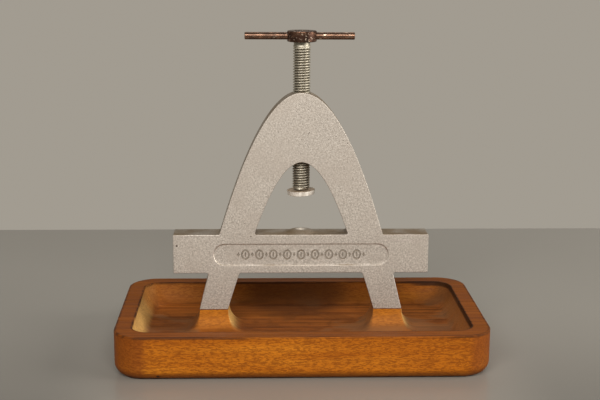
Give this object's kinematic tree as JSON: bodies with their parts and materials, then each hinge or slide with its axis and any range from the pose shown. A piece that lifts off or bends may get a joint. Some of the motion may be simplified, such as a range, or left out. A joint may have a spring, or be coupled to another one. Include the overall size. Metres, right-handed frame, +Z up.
{
  "type": "screw nutcracker",
  "caption": "Table nutcracker: an A-shaped cast frame on a hollowed wooden tray, with a T-handled spindle whose swivelling disc presses the nut against the crossbar.",
  "frame": {"origin": "centre of the tray's underside, on the surface it stands on; the spindle's axis passes through it", "axes": "+X along the tray and the crossbar, to the user's right; +Y away from the user; +Z up, along the spindle"},
  "size_m": [0.25, 0.137, 0.2219],
  "materials": {
    "oiled_wood": "oiled beech, orange brown, with short flecks and a darker rim",
    "cast_aluminium": "shot-blasted casting, matt and finely grained",
    "bright_steel": "zinc-plated thread, satin",
    "browned_steel": "browned and lightly rusted, with bright flecks",
    "worn_steel": "worn plating, slightly brown",
    "zinc_steel": "zinc plated"
  },
  "bodies": {
    "stand": {"tray": "oiled_wood", "frame": "cast_aluminium", "foot_screw_left": "zinc_steel", "foot_screw_right": "zinc_steel", "foot_washer_left": "zinc_steel", "foot_washer_right": "zinc_steel"},
    "pressure_foot": {"pressure_disc": "worn_steel"},
    "screw": {"spindle": "bright_steel", "spindle_head": "browned_steel", "tommy_bar": "browned_steel", "disc_screw": "zinc_steel"}
  },
  "joints": [
    {"name": "spindle_feed", "type": "slide", "parent": "stand", "child": "pressure_foot", "axis": [0, 0, 1], "range_m": [-0.0228, 0.0141]},
    {"name": "spindle_turn", "type": "hinge", "parent": "pressure_foot", "child": "screw", "pos_m": [0, 0, 0.1145], "axis": [0, 0, 1], "range_deg": [-4680, 2880]}
  ],
  "couplings": [
    {"joint": "spindle_feed", "follows": "spindle_turn", "m_per_rad": 0.00027852}
  ]
}
